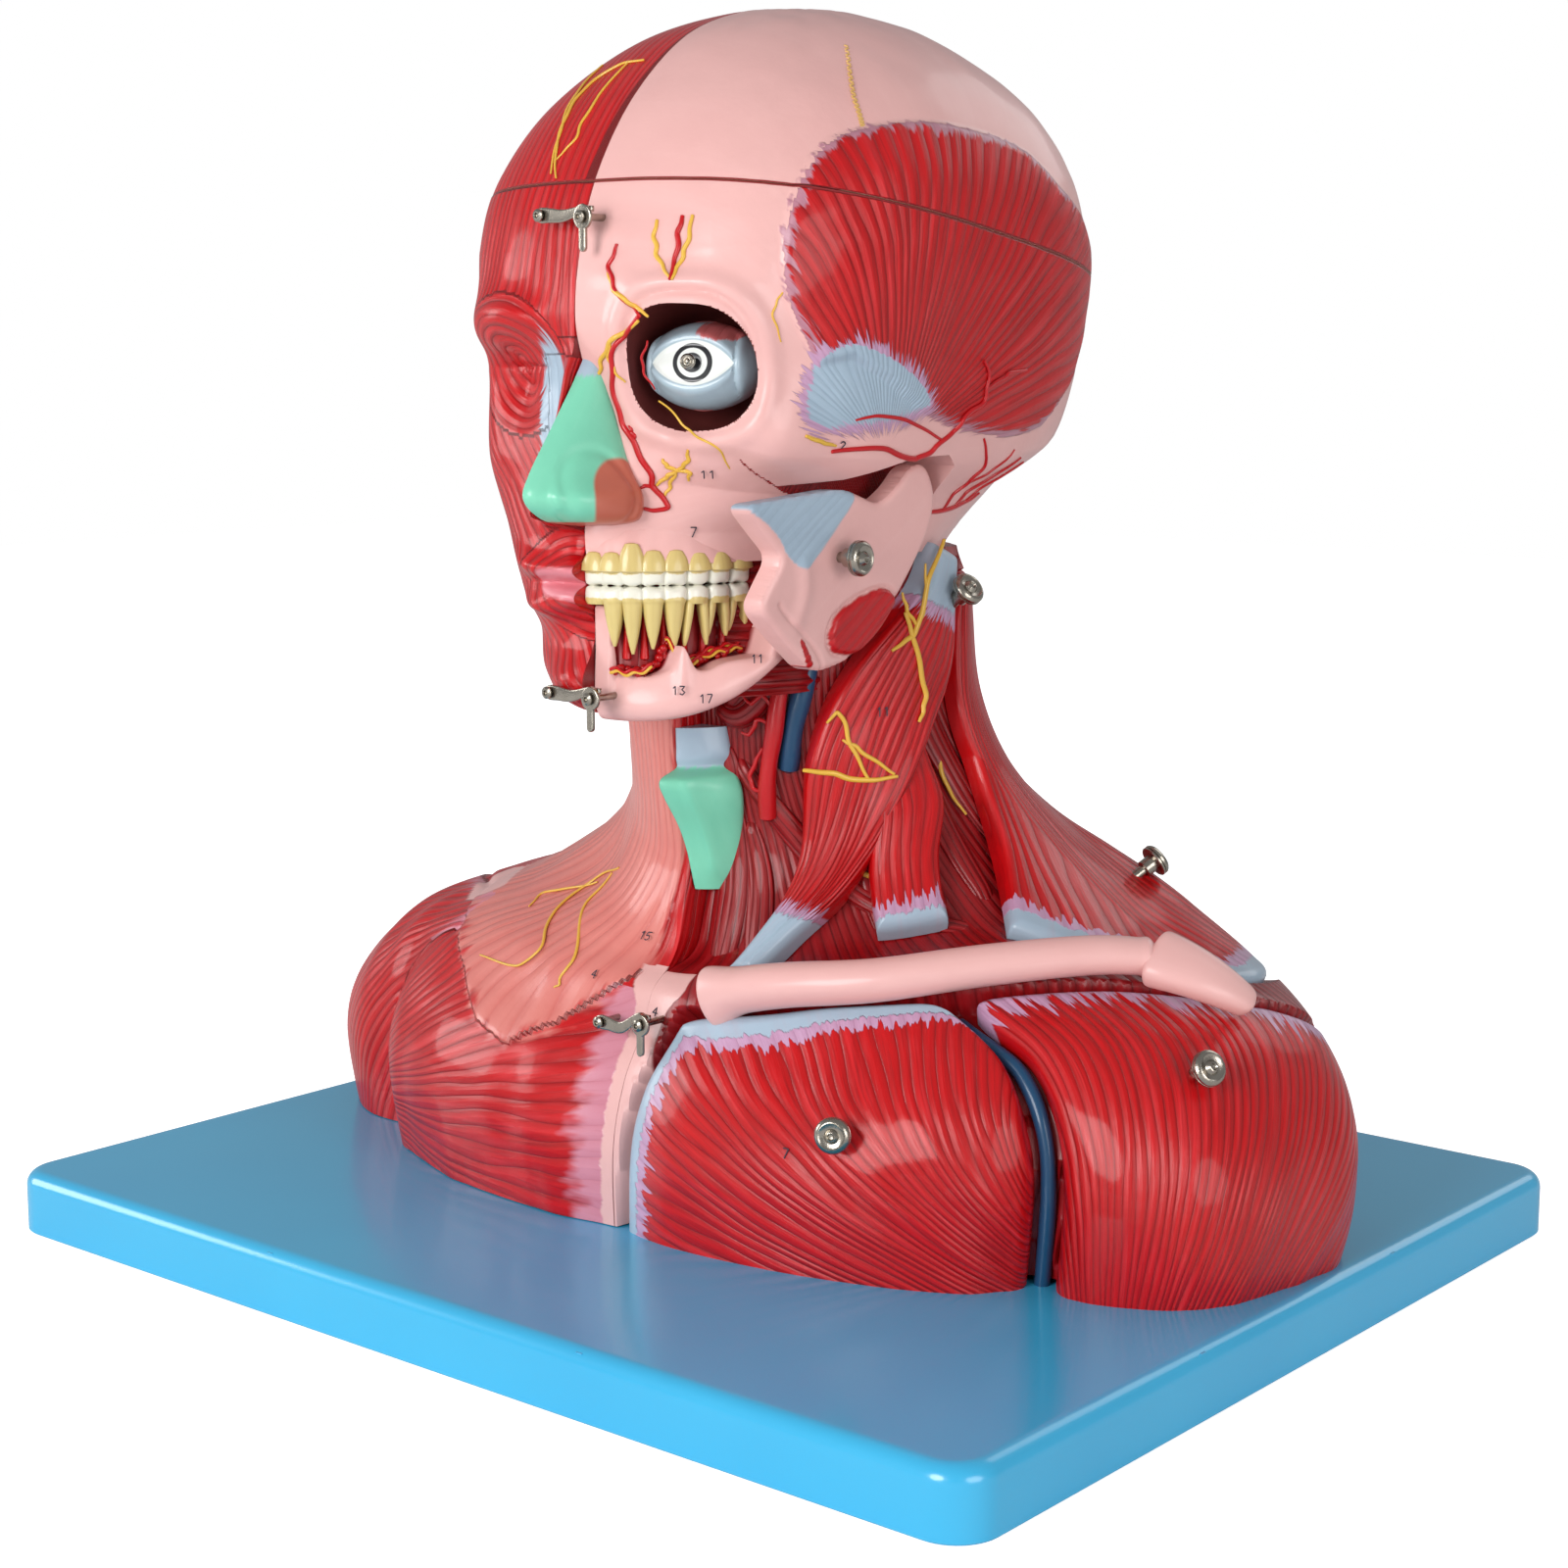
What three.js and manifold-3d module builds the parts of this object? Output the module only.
// Dissectible head, neck and shoulder model on a board: a muscle half and a bone half that part at the
// midline, with a lift-off skull cap, a half brain and plates of muscle held by pull-out pins.
// +Z is up, the face looks along -Y, and +X is the model's own left, the deep half.
import * as THREE from "three";
import { mergeVertices } from "three/addons/utils/BufferGeometryUtils.js";
import Module from "manifold-3d";

const wasm = await Module();
wasm.setup();

// Board.
const boardLength = 400;
const boardWidth = 335.8;
const boardThickness = 20.6;
const boardCornerRadius = 14;
const boardEdgeRadius = 5;
const boardWall = 3;
const ribThickness = 2.4;
const ribHeight = 9;

// Bust and neck, from the top of the board to the top of the neck.
const bustHalfWidth = 192;
const bustFrontDepth = 88;
const bustBackDepth = 101;
const bustHeight = 214;
const bustRelief = 10;
const deepNeckInset = 9.4;
const muscleThickness = 9;
const trapeziusThickness = 7;
const plateEdge_share = 0.45;
const roomGrow_share = 0.16;

// Head.
const chinRise = 161;
const headHeight = 218;
const headHalfWidth = 77;
const headFrontDepth = 98;
const headBackDepth = 103;
const headRelief = 4;
const capCut_share = 0.6761;
const capCutSlope_deg = -8.98;
const skullBase_share = 0.222;
const skullSideWall = 8;
const skullEndWall = 12.5;
const cavityHeight_share = 0.3028;
const cavityCentre_share = 0.6514;
const brainClearance = 1.2;

// Fits.
const seatGap = 0.3;
const plateGap = 0.4;
const cutOver = 40;
const weld = 1e-4;

// Pins that hold the muscles, and the smaller pin of the eye.
const pinHeadRadius = 5.4;
const pinHeadThickness = 3.2;
const pinCollarRadius = 2.9;
const pinCollarLength = 4.4;
const pinShankRadius = 1.7;
const pinShankLength = 22;
const pinTipLength = 2;
const pinSideCount = 10;
const pinStandOff = 1.3;
const eyePin_share = 0.42;

// Latches on the midline.
const latchSpan = 18.5;
const latchPlate = 1.4;
const latchArmHalfWidth = 2.3;
const latchStandOff = 1.6;
const latchScrewRadius = 1.9;
const latchScrewHead = 1.3;
const latchNeckRadius = 1.1;
const latchScrewDepth = 9;
const leverHeadRadius = 3.6;
const leverTailLength = 10;
const leverTailHalfWidth = 1.3;

// Dowels that line up the halves, and screws that hold the bust on the board.
const dowelRadius = 3;
const dowelReach = 9;
const screwRadius = 2.1;
const screwHeadRadius = 4.6;
const screwHeadThickness = 2.6;
const screwLength = 26;

// Collar bone, vessels, larynx and nose.
const clavicleRadius = 6.6;
const acromionHalfHeight = 4;
const carotidRadius = 2.8;
const jugularRadius = 3.4;
const cephalicRadius = 2.2;
const larynxHalfWidth = 14;
const larynxDepth = 15;
const noseLength = 52;
const noseProjection = 29;
const noseHalfWidth = 18;
const earHalfHeight = 31;
const earHalfLength = 17;
const earThickness = 9;

// Orbit, eye and jaw.
const orbitHalfWidth = 20.5;
const orbitHalfHeight = 19.5;
const orbitDepth = 30;
const eyeHalfWidth = 18.3;
const eyeHalfHeight = 13;
const eyeHalfDepth = 13;
const eyeStemRadius = 5;
const jawHalfWidth = 47;
const jawRim_share = 0.0688;
const jawWallDrop = 3.6;
const ramusThickness = 7.5;
const dentalHalfWidth = 31.5;
const dentalDepth = 46;
const crownHeight = 5.4;
const crownDepth = 7;
const rootLength = 15;
const toothCount = 8;

const bustBase = boardThickness + seatGap;
const chinHeight = bustBase + chinRise;
const skullBase = chinHeight + headHeight * skullBase_share;
const capCutHeight = chinHeight + headHeight * capCut_share;
const cavityHalfWidth = headHalfWidth - skullSideWall;
const cavityHalfLength = (headFrontDepth + headBackDepth) / 2 - skullEndWall;
const cavityHalfHeight = headHeight * cavityHeight_share;
const biteHeight = chinHeight + headHeight * 0.191;
const jawRimHeight = headHeight * jawRim_share;
const jawWallTop = biteHeight - jawWallDrop;
const up = new THREE.Vector3(0, 0, 1);

// Colours and finishes.
function finish(color, roughness = 0.45, metalness = 0) {
  return new THREE.MeshStandardMaterial({ color, roughness, metalness });
}
const boardBlue = finish(0x4cb4e2, 0.25);
const bonePink = finish(0xe9b7ae);
const muscleRed = finish(0xc01f2a);
const deepRed = finish(0xa01822);
const cartilageGreen = finish(0x7fd6b4);
const tendonGrey = finish(0xa9b7c4);
const arteryRed = finish(0xc8101c);
const veinBlue = finish(0x1d4468);
const enamelWhite = finish(0xf2ecdc, 0.3);
const brainTone = finish(0xdcc7b0);
const nickel = finish(0xb8b2a8, 0.25, 0.9);
const steel = finish(0x8d8f92, 0.4, 0.9);

// Solids.

// Gives a geometry back with positions only, welded, without slivers and facing out.
function tidyGeometry(geometry) {
  const loose = geometry.index ? geometry.toNonIndexed() : geometry;
  const bare = new THREE.BufferGeometry().setAttribute("position", loose.getAttribute("position"));
  const welded = mergeVertices(bare, weld);
  const index = welded.index.array;
  const position = welded.getAttribute("position");
  const corner = [new THREE.Vector3(), new THREE.Vector3(), new THREE.Vector3()];
  const kept = [];
  let volume = 0;
  for (let i = 0; i < index.length; i += 3) {
    const [a, b, c] = [index[i], index[i + 1], index[i + 2]];
    if (a === b || b === c || a === c) continue;
    kept.push([a, b, c]);
    corner.forEach((vertex, k) => vertex.fromBufferAttribute(position, index[i + k]));
    volume += corner[0].dot(corner[1].clone().cross(corner[2]));
  }
  welded.setIndex(kept.flatMap(([a, b, c]) => (volume < 0 ? [a, c, b] : [a, b, c])));
  return welded;
}

function solid(geometry) {
  const tidy = tidyGeometry(geometry);
  return new wasm.Manifold(
    new wasm.Mesh({
      numProp: 3,
      vertProperties: tidy.getAttribute("position").array,
      triVerts: new Uint32Array(tidy.index.array),
    }),
  );
}

function geometryOf(body) {
  const mesh = body.getMesh();
  return new THREE.BufferGeometry()
    .setAttribute("position", new THREE.BufferAttribute(new Float32Array(mesh.vertProperties), 3))
    .setIndex(new THREE.BufferAttribute(new Uint32Array(mesh.triVerts), 1));
}

function trianglesGeometry(triangles) {
  const values = triangles.flatMap((corners) => corners.flatMap((p) => [p.x, p.y, p.z]));
  return new THREE.BufferGeometry().setAttribute("position", new THREE.Float32BufferAttribute(values, 3));
}

function quad(a, b, c, d) {
  return [
    [a, b, c],
    [a, c, d],
  ];
}

// A closed body through a stack of closed rings, with each end closed to its middle.
function loft(rings) {
  const triangles = [];
  const count = rings[0].length;
  for (let j = 0; j + 1 < rings.length; j++)
    for (let i = 0; i < count; i++) {
      const k = (i + 1) % count;
      triangles.push(...quad(rings[j][i], rings[j][k], rings[j + 1][k], rings[j + 1][i]));
    }
  const middle = (ring) =>
    ring.reduce((sum, p) => sum.add(p), new THREE.Vector3()).divideScalar(ring.length);
  const [first, last] = [middle(rings[0]), middle(rings[rings.length - 1])];
  for (let i = 0; i < count; i++) {
    const k = (i + 1) % count;
    triangles.push([rings[0][k], rings[0][i], first]);
    triangles.push([rings[rings.length - 1][i], rings[rings.length - 1][k], last]);
  }
  return trianglesGeometry(triangles);
}

// A closed plate between an outer and an inner grid of points.
function plateGeometry(outer, inner) {
  const triangles = [];
  const [m, n] = [outer.length - 1, outer[0].length - 1];
  for (let i = 0; i < m; i++)
    for (let j = 0; j < n; j++) {
      triangles.push(...quad(outer[i][j], outer[i + 1][j], outer[i + 1][j + 1], outer[i][j + 1]));
      triangles.push(...quad(inner[i][j], inner[i][j + 1], inner[i + 1][j + 1], inner[i + 1][j]));
    }
  for (let i = 0; i < m; i++) {
    triangles.push(...quad(outer[i][0], inner[i][0], inner[i + 1][0], outer[i + 1][0]));
    triangles.push(...quad(outer[i + 1][n], inner[i + 1][n], inner[i][n], outer[i][n]));
  }
  for (let j = 0; j < n; j++) {
    triangles.push(...quad(outer[0][j + 1], inner[0][j + 1], inner[0][j], outer[0][j]));
    triangles.push(...quad(outer[m][j], inner[m][j], inner[m][j + 1], outer[m][j + 1]));
  }
  return trianglesGeometry(triangles);
}

// A tube or bar along a curve. The section is a list of [across, out] points for each place t.
function sweep(curve, steps, outward, section) {
  const rings = [];
  for (let i = 0; i <= steps; i++) {
    const t = i / steps;
    const tangent = curve.getTangent(t);
    const out = outward.clone().addScaledVector(tangent, -outward.dot(tangent)).normalize();
    const across = new THREE.Vector3().crossVectors(tangent, out);
    const centre = curve.getPoint(t);
    rings.push(
      section(t).map(([a, b]) => centre.clone().addScaledVector(across, a).addScaledVector(out, b)),
    );
  }
  return loft(rings);
}

function ovalSection(halfWidth, halfHeight, sides) {
  return Array.from({ length: sides }, (_, i) => {
    const angle = (2 * Math.PI * i) / sides;
    return [halfWidth * Math.cos(angle), halfHeight * Math.sin(angle)];
  });
}

// A body turned from a profile of [radius, height] points, standing at a point along a direction.
function turned(profile, origin, direction, sides) {
  const geometry = new THREE.LatheGeometry(
    profile.map(([r, h]) => new THREE.Vector2(r, h)),
    sides,
  );
  const turn = new THREE.Quaternion().setFromUnitVectors(new THREE.Vector3(0, 1, 0), direction);
  return geometry.applyQuaternion(turn).translate(origin.x, origin.y, origin.z);
}

function rod(radius, start, end, sides) {
  const direction = end.clone().sub(start);
  const length = direction.length();
  const profile = [
    [0, 0],
    [radius, 0],
    [radius, length],
    [0, length],
  ];
  return turned(profile, start, direction.normalize(), sides);
}

function box(low, high) {
  const size = high.clone().sub(low);
  const middle = low.clone().add(high).multiplyScalar(1 / 2);
  return new THREE.BoxGeometry(size.x, size.y, size.z).translate(middle.x, middle.y, middle.z);
}

function signedPower(value, power) {
  return Math.sign(value) * Math.abs(value) ** power;
}

// A ball whose sections are squarer than an ellipse when power is over 2.
function roundedBall(centre, radii, power, columns, rows, rotation = new THREE.Quaternion()) {
  const geometry = new THREE.SphereGeometry(1, columns, rows);
  const position = geometry.getAttribute("position");
  for (let i = 0; i < position.count; i++) {
    const p = new THREE.Vector3().fromBufferAttribute(position, i);
    const rim = Math.hypot(p.x, p.z) || 1;
    const square = (value) => signedPower(value / rim, 2 / power) * rim;
    p.set(square(p.x) * radii.x, p.y * radii.y, square(p.z) * radii.z);
    p.applyQuaternion(rotation).add(centre);
    position.setXYZ(i, p.x, p.y, p.z);
  }
  return geometry;
}

// Rings that pass through a front line, a side line and a back line, one ring at each station.
class RingForm {
  constructor({ front, side, back, power, relief, reliefHeight }) {
    this.front = new THREE.CatmullRomCurve3(front, false, "catmullrom");
    this.side = new THREE.CatmullRomCurve3(side, false, "catmullrom");
    this.back = new THREE.CatmullRomCurve3(back, false, "catmullrom");
    this.power = power;
    this.relief = relief;
    this.reliefHeight = reliefHeight;
    this.last = front.length - 1;
  }

  bare(turn_deg, station) {
    const t = THREE.MathUtils.clamp(station / this.last, 0, 1);
    const low = Math.min(Math.floor(t * this.last), this.last - 1);
    const power = THREE.MathUtils.lerp(this.power[low], this.power[low + 1], t * this.last - low);
    const turn = THREE.MathUtils.degToRad(turn_deg);
    const [c, s] = [Math.cos(turn), Math.sin(turn)];
    const side = this.side.getPoint(t);
    const end = (c > 0 ? this.front : this.back).getPoint(t);
    return new THREE.Vector3(
      side.x * signedPower(s, 2 / power),
      side.y + (end.y - side.y) * Math.abs(c) ** (2 / power),
      side.z + (end.z - side.z) * c * c,
    );
  }

  raise(turn_deg, station) {
    const turn = Math.abs(turn_deg);
    return this.relief.reduce((sum, [at_deg, place, spread_deg, length, height_share]) => {
      const [a, b] = [(turn - at_deg) / spread_deg, (station - place) / length];
      return sum + height_share * this.reliefHeight * Math.exp(-a * a - b * b);
    }, 0);
  }

  point(turn_deg, station, inset = 0) {
    const [da, ds] = [1, 0.1];
    const p = this.bare(turn_deg, station);
    const along = this.bare(turn_deg + da, station).sub(this.bare(turn_deg - da, station));
    const rise = this.bare(turn_deg, Math.min(station + ds, this.last));
    rise.sub(this.bare(turn_deg, Math.max(station - ds, 0)));
    const normal = along.cross(rise).normalize();
    return p.addScaledVector(normal, this.raise(turn_deg, station) - inset);
  }

  body(turns, stations, inset = () => 0) {
    return loft(
      stations.map((station) => turns.map((turn) => this.point(turn, station, inset(turn, station)))),
    );
  }

  // A sheet of points that follows the form at the [turn_deg, station] places of a mesh.
  sheet(places, inset) {
    const [m, n] = [places.length - 1, places[0].length - 1];
    return places.map((row, i) =>
      row.map(([turn, station], j) => this.point(turn, station, inset(i / m, j / n))),
    );
  }
}

// A mesh of places between rows of [turn_deg, station] corners, which run row by row upwards.
// A grown mesh has one more ring of places, a share of a facet wide.
function placesBetween(rows, columns, steps, grow_share = 0) {
  const places = Array.from({ length: columns + 1 }, (_, i) => {
    const corners = rows.map((row) => alongRow(row, i / columns));
    return Array.from({ length: steps + 1 }, (_, j) => alongRow(corners, j / steps));
  });
  if (grow_share === 0) return places;
  const beyond = (a, b) => a.map((value, k) => value + (value - b[k]) * grow_share);
  const widen = (list, step) => [
    step(list[0], list[1]),
    ...list,
    step(list[list.length - 1], list[list.length - 2]),
  ];
  const rowBeyond = (a, b) => a.map((place, k) => beyond(place, b[k]));
  return widen(
    places.map((row) => widen(row, beyond)),
    rowBeyond,
  );
}

// A smooth line through [a, b] pairs, read at a share t of its length in steps.
function alongRow(pairs, t) {
  const curve = new THREE.SplineCurve(pairs.map(([a, b]) => new THREE.Vector2(a, b)));
  const p = curve.getPoint(t);
  return [p.x, p.y];
}

// Puts share tables [forward or sideways, height] into real lengths.
function line(shares, scaleX, scaleY, scaleZ, baseZ) {
  return shares.map(
    ([x, y, z]) =>
      new THREE.Vector3(x * scaleX, y < 0 ? y * scaleY[0] : y * scaleY[1], baseZ + z * scaleZ),
  );
}

// Bust and neck lines, from a little below the board's top, where they are cut off, to the top of the neck.
const bustFront_shares = [
  [0, -0.965, -0.07], [0, -0.99, 0.113], [0, -0.93, 0.22], [0, -0.815, 0.295], [0, -0.75, 0.346],
  [0, -0.66, 0.388], [0, -0.57, 0.444], [0, -0.51, 0.528], [0, -0.545, 0.64], [0, -0.57, 0.762],
  [0, -0.56, 1],
];
const bustSide_shares = [
  [0.965, 0.2, -0.07], [1, 0.22, 0.127], [0.974, 0.24, 0.25], [0.885, 0.27, 0.344], [0.729, 0.32, 0.398],
  [0.583, 0.36, 0.446], [0.443, 0.36, 0.53], [0.345, 0.28, 0.635], [0.302, 0.17, 0.745],
  [0.292, 0.12, 0.86], [0.29, 0.1, 1],
];
const bustBack_shares = [
  [0, 0.94, -0.07], [0, 0.98, 0.136], [0, 1, 0.267], [0, 0.98, 0.379], [0, 0.93, 0.463], [0, 0.85, 0.533],
  [0, 0.77, 0.594], [0, 0.69, 0.673], [0, 0.655, 0.78], [0, 0.65, 0.893], [0, 0.65, 1],
];
const bustPowers = [2, 2.1, 2.15, 2.2, 2.25, 2.2, 2.1, 2, 2, 2, 2];
// Each relief: turn, station, their spreads, and the height as a share.
const bustRelief_shares = [
  [66, 0.6, 13, 1.7, 1], [100, 0.6, 22, 1.6, 0.6], [47, 0.8, 5, 1.8, -0.85], [24, 1.4, 14, 1.4, 0.45],
  [0, 1.6, 5, 2.6, -0.5], [180, 3, 9, 4, -0.5], [150, 1.6, 16, 1.6, 0.7], [142, 4.6, 20, 1.4, 0.5],
  [42, 6, 16, 0.9, -0.5], [0, 5.2, 9, 0.8, -0.35],
];
const bustLengths = [bustHalfWidth, [bustFrontDepth, bustBackDepth], bustHeight, bustBase];
const bust = new RingForm({
  front: line(bustFront_shares, ...bustLengths),
  side: line(bustSide_shares, ...bustLengths),
  back: line(bustBack_shares, ...bustLengths),
  power: bustPowers,
  relief: bustRelief_shares,
  reliefHeight: bustRelief,
});

// The lines of the brain case, shared by both halves and by the lift-off cap.
const caseFront_shares = [
  [0, -0.97, 0.553], [0, -0.95, 0.642], [0, -0.875, 0.743], [0, -0.71, 0.853], [0, -0.47, 0.944],
  [0, -0.2, 0.988], [0, 0.04, 0.998],
];
const caseSide_shares = [
  [0.975, 0.04, 0.553], [1, 0.04, 0.657], [0.99, 0.04, 0.757], [0.87, 0.04, 0.858], [0.6, 0.04, 0.944],
  [0.3, 0.04, 0.987], [0, 0.04, 0.998],
];
const caseBack_shares = [
  [0, 1, 0.578], [0, 0.975, 0.67], [0, 0.9, 0.77], [0, 0.76, 0.867], [0, 0.51, 0.948], [0, 0.27, 0.988],
  [0, 0.04, 0.998],
];
const casePowers = [3, 3.1, 2.9, 2.6, 2.3, 2.1, 2];
// The bone half below the brain case.
const skullFront_shares = [
  [0, -0.93, 0.202], [0, -0.94, 0.266], [0, -0.91, 0.33], [0, -0.9, 0.404], [0, -0.93, 0.477],
];
const skullSide_shares = [
  [0.6, 0.08, 0.2], [0.69, 0.08, 0.257], [0.77, 0.06, 0.307], [0.89, 0.04, 0.36], [0.94, 0.04, 0.45],
];
const skullBack_shares = [
  [0, 0.56, 0.2], [0, 0.72, 0.266], [0, 0.85, 0.34], [0, 0.94, 0.413], [0, 0.99, 0.495],
];
const skullPowers = [1.6, 1.6, 1.9, 2.8, 3];
// The muscle half below the brain case, on textbook proportions.
const faceFront_shares = [
  [0, -0.8, 0.002], [0, -0.9, 0.018], [0, -0.92, 0.05], [0, -0.89, 0.1], [0, -0.93, 0.146],
  [0, -0.95, 0.2], [0, -0.945, 0.266], [0, -0.92, 0.367], [0, -0.93, 0.477],
];
const faceSide_shares = [
  [0.44, -0.14, 0.02], [0.6, -0.12, 0.07], [0.69, -0.08, 0.11], [0.75, -0.04, 0.165],
  [0.8, 0, 0.215], [0.85, 0.02, 0.28], [0.9, 0.04, 0.35], [0.93, 0.04, 0.417], [0.955, 0.04, 0.495],
];
const faceBack_shares = [
  [0, 0.1, 0.03], [0, 0.3, 0.06], [0, 0.44, 0.105], [0, 0.56, 0.165], [0, 0.64, 0.22], [0, 0.75, 0.28],
  [0, 0.855, 0.349], [0, 0.94, 0.427], [0, 0.99, 0.505],
];
const facePowers = [2, 2.1, 2.3, 2.4, 2.5, 2.6, 2.7, 2.8, 3];
const headLengths = [headHalfWidth, [headFrontDepth, headBackDepth], headHeight, chinHeight];
function headForm(front, side, back, powers, relief) {
  return new RingForm({
    front: line([...front, ...caseFront_shares], ...headLengths),
    side: line([...side, ...caseSide_shares], ...headLengths),
    back: line([...back, ...caseBack_shares], ...headLengths),
    power: [...powers, ...casePowers],
    relief,
    reliefHeight: headRelief,
  });
}
// Temporal muscle, brow and cheek bone on the bone side; brow, cheek, eye and lips on the other.
const skullRelief_shares = [
  [88, 6.6, 32, 2.3, 0.8], [24, 5, 14, 0.5, 0.9], [46, 3.3, 10, 0.6, 1.2], [16, 3.2, 8, 0.8, -1],
];
const faceRelief_shares = [
  [22, 8.9, 14, 0.6, 1.2], [38, 7, 12, 1, 1.1], [21, 7.9, 8, 0.55, -1.4], [14, 5.2, 9, 0.28, 0.9],
  [14, 4.2, 9, 0.28, 0.9], [90, 4, 16, 1.6, 0.9], [8, 2, 10, 0.7, 0.8], [88, 10.6, 32, 2.3, 0.8],
];
const skull = headForm(
  skullFront_shares,
  skullSide_shares,
  skullBack_shares,
  skullPowers,
  skullRelief_shares,
);
const face = headForm(faceFront_shares, faceSide_shares, faceBack_shares, facePowers, faceRelief_shares);

// Turns and stations that the closed bodies are sampled at.
const bustTurns = [
  -180, -166, -152, -138, -125, -112, -100, -88, -76, -65, -55, -47, -38, -28, -18, -8, 0,
];
const fullTurns = [...bustTurns, ...bustTurns.slice(1, -1).reverse().map((turn) => -turn)];
const bustStations = [0, 0.8, 1.6, 2.3, 3, 3.6, 4.2, 4.8, 5.4, 6.1, 6.9, 7.8, 8.9, 10];
const headTurns = Array.from({ length: 32 }, (_, i) => -180 + 11.25 * i);
const skullStations = [0, 0.7, 1.3, 2, 2.6, 3.2, 4, 4.8, 5.6, 6.4, 7.2, 8, 8.7, 9.3, 9.9, 10.5, 11];
const faceStations = [0, 0.6, 1.2, 2, 2.8, 3.5, 4.2, 4.7, 5.2, 5.8, 6.5, 7.2, 7.9, 8.5, 9.2, 10, 10.8];

// Places that several pieces share.
function at(x_share, y_share, z_share) {
  const depth = y_share < 0 ? headFrontDepth : headBackDepth;
  return new THREE.Vector3(
    x_share * headHalfWidth,
    y_share * depth,
    chinHeight + z_share * headHeight,
  );
}
const orbitAxis = new THREE.Vector3(0.36, -0.92, 0.1).normalize();
const orbitCentre = at(0.44, -0.8, 0.493);
const orbitTurn = new THREE.Quaternion().setFromUnitVectors(new THREE.Vector3(0, -1, 0), orbitAxis);
const cavityCentre = at(0, 0.05, cavityCentre_share);
const cavityRadii = new THREE.Vector3(cavityHalfWidth, cavityHalfHeight, cavityHalfLength);
const uprightTurn = new THREE.Quaternion().setFromAxisAngle(new THREE.Vector3(1, 0, 0), Math.PI / 2);

// Pins: where each stands on its muscle, and the direction it pulls out along.
const holders = {
  pectoral: {
    turn_deg: 25.4,
    station_share: 1.8,
    direction: [0.42, -0.9, 0.1],
  },
  deltoid: {
    turn_deg: 68.5,
    station_share: 2.5,
    direction: [0.86, -0.3, 0.41],
  },
  trapezius: {
    turn_deg: 127,
    station_share: 4.85,
    direction: [0.4, 0.74, 0.54],
  },
  sternomastoid: {
    turn_deg: 99,
    station_share: 9.35,
    direction: [0.8, -0.1, 0.59],
  },
};
const ramusDirection = new THREE.Vector3(1, 0, 0);

function pinProfile(scale) {
  const [head, collar, tip] = [pinHeadRadius, pinCollarRadius, pinTipLength].map((v) => v * scale);
  const base = pinCollarLength * scale;
  const top = base + pinHeadThickness * scale;
  const bottom = -pinShankLength * scale;
  return [
    [0, bottom],
    [pinShankRadius * scale * 0.4, bottom],
    [pinShankRadius * scale, bottom + tip],
    [pinShankRadius * scale, seatGap],
    [collar, seatGap],
    [collar, base],
    [head, base],
    [head, top - pinHeadThickness * scale * 0.3],
    [head * 0.82, top],
    [head * 0.3, top],
    [head * 0.26, top + pinHeadThickness * scale * 0.22],
    [0, top + pinHeadThickness * scale * 0.22],
  ];
}

function pin(origin, direction, scale = 1) {
  return turned(pinProfile(scale), origin, direction, pinSideCount);
}

// The hole for a pin, with a flat seat under its collar.
function pinBore(origin, direction, scale = 1) {
  const [shank, seat] = [pinShankRadius, pinCollarRadius].map((radius) => radius * scale + seatGap);
  const start = origin.clone().addScaledVector(direction, -(pinShankLength + seatGap) * scale);
  const end = origin.clone().addScaledVector(direction, cutOver);
  return solid(rod(shank, start, end, pinSideCount)).add(solid(rod(seat, origin, end, pinSideCount)));
}

// Muscle plates on the bust and neck: rows of [turn in degrees, station] corners from the lowest edge up.
const pectoralRow_shares = [
  [[1.1, 0.04], [25, 0.04], [46.5, 0.04]],
  [[1.9, 2], [25, 2], [45, 2]],
  [[4.4, 3.35], [24, 4], [43, 4.12]],
];
const deltoidRow_shares = [
  [[50.2, 0.04], [82, 0.04], [114, 0.04]],
  [[48.8, 1.9], [81, 1.6], [114, 1.7]],
  [[46.6, 4.1], [70, 3.72], [92, 2.9], [113, 2.3]],
];
const trapeziusRow_shares = [
  [[66, 5.3], [90, 3.8], [116, 3.2], [144, 2.5], [171, 2]],
  [[88, 7.2], [104, 6.2], [124, 6], [148, 5.8], [171, 5.6]],
  [[110, 9.3], [122, 9.4], [137, 9.5], [154, 9.5], [171, 9.5]],
];
const sternalRow_shares = [
  [[9, 4.85], [15, 4.95]],
  [[17, 5.8], [27, 5.85]],
  [[31, 6.9], [54, 6.8]],
  [[41, 8], [80, 7.8]],
  [[55, 8.8], [98, 8.6]],
  [[83, 9.5], [104, 9.35]],
  [[92, 9.95], [106, 9.8]],
];
const clavicularRow_shares = [
  [[42, 5.75], [57, 5.65]],
  [[46, 6.45], [63, 6.35]],
  [[53, 7.2], [73, 7]],
  [[58, 8], [79, 7.8]],
];

// The rounded edge of a plate: full height in the middle, falling to the edge share at the rim.
function crown(thickness) {
  return (u, v) => {
    const rim = Math.min(1, Math.min(u, 1 - u) * 9, Math.min(v, 1 - v) * 9);
    return thickness * (1 - plateEdge_share) * (1 - Math.sqrt(1 - (1 - rim) ** 2));
  };
}

function muscle(rows, thickness, columns, steps) {
  const places = placesBetween(rows, columns, steps);
  const outer = bust.sheet(places, crown(thickness));
  const inner = bust.sheet(places, () => thickness);
  return solid(plateGeometry(outer, inner)).intersect(above(bustBase));
}

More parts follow.
